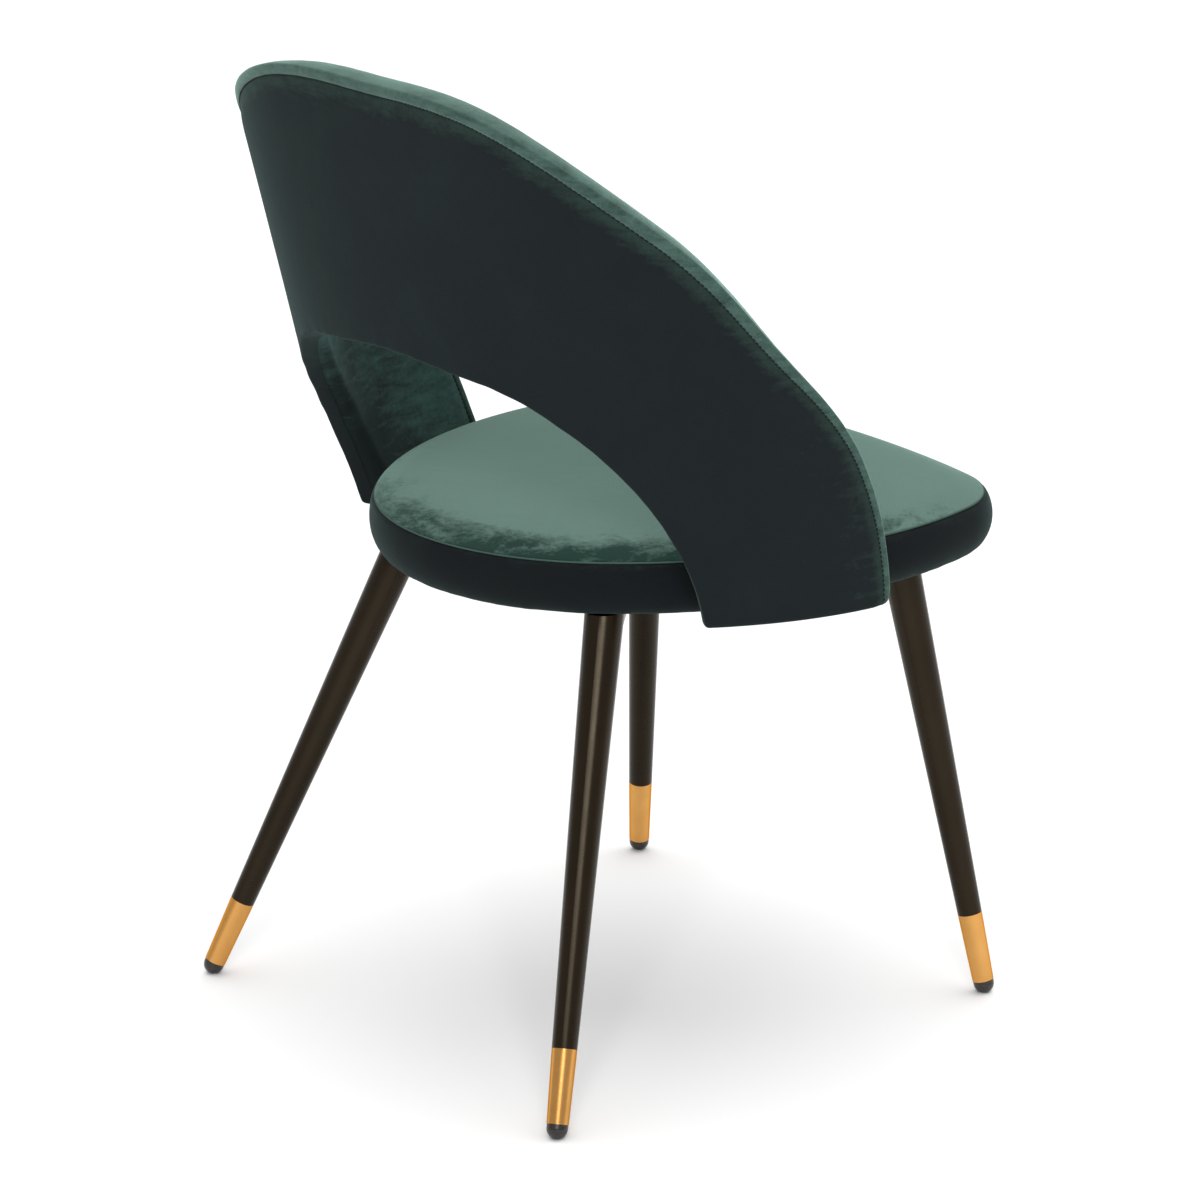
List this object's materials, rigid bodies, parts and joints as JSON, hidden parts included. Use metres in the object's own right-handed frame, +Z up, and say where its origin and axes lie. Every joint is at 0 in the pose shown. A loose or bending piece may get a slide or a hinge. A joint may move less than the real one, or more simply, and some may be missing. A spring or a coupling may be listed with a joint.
{
  "type": "dining chair",
  "caption": "Upholstered dining chair: round-backed padded seat, flared wrap-around back with an arch opening, and splayed tapered metal legs with metal tips.",
  "frame": {"origin": "on the floor, under the middle of the chair's bounding box", "axes": "+Z up, -Y is the direction the sitter faces, +X is the sitter's left"},
  "size_m": [0.614, 0.5517, 0.8476],
  "materials": {
    "velvet": "dark green short-pile velvet with a soft sheen",
    "foam": "polyurethane foam and wadding, hidden",
    "lining": "black non-woven lining",
    "plywood": "raw plywood, hidden",
    "leg_paint": "satin black powder coat on steel",
    "tip_metal": "satin gold-coloured plated metal",
    "glide_plastic": "black moulded plastic",
    "zinc_steel": "zinc-plated steel"
  },
  "bodies": {
    "root": {"seat_plywood_board": "plywood", "seat_foam": "foam", "seat_top_panel": "velvet", "seat_side_band": "velvet", "seat_dust_cover": "lining", "back_plywood_core": "plywood", "back_outer_wadding": "foam", "back_inner_foam": "foam", "back_rim_foam": "foam", "back_outer_panel": "velvet", "back_inner_panel": "velvet", "back_rim_band": "velvet", "back_opening_band": "velvet", "left_wing_base_cover": "velvet", "right_wing_base_cover": "velvet", "left_wing_bracket": "zinc_steel", "right_wing_bracket": "zinc_steel", "bracket_screws": "zinc_steel", "underframe_long_bar": "leg_paint", "underframe_rear_right_bar": "leg_paint", "underframe_front_left_bar": "leg_paint", "frame_screws": "zinc_steel", "frame_washers": "zinc_steel", "tee_nuts": "zinc_steel", "rear_left_mounting_plate": "leg_paint", "rear_left_leg_tube": "leg_paint", "rear_left_tip_sleeve": "tip_metal", "rear_left_glide": "glide_plastic", "rear_right_mounting_plate": "leg_paint", "rear_right_leg_tube": "leg_paint", "rear_right_tip_sleeve": "tip_metal", "rear_right_glide": "glide_plastic", "front_left_mounting_plate": "leg_paint", "front_left_leg_tube": "leg_paint", "front_left_tip_sleeve": "tip_metal", "front_left_glide": "glide_plastic", "front_right_mounting_plate": "leg_paint", "front_right_leg_tube": "leg_paint", "front_right_tip_sleeve": "tip_metal", "front_right_glide": "glide_plastic"}
  },
  "joints": []
}
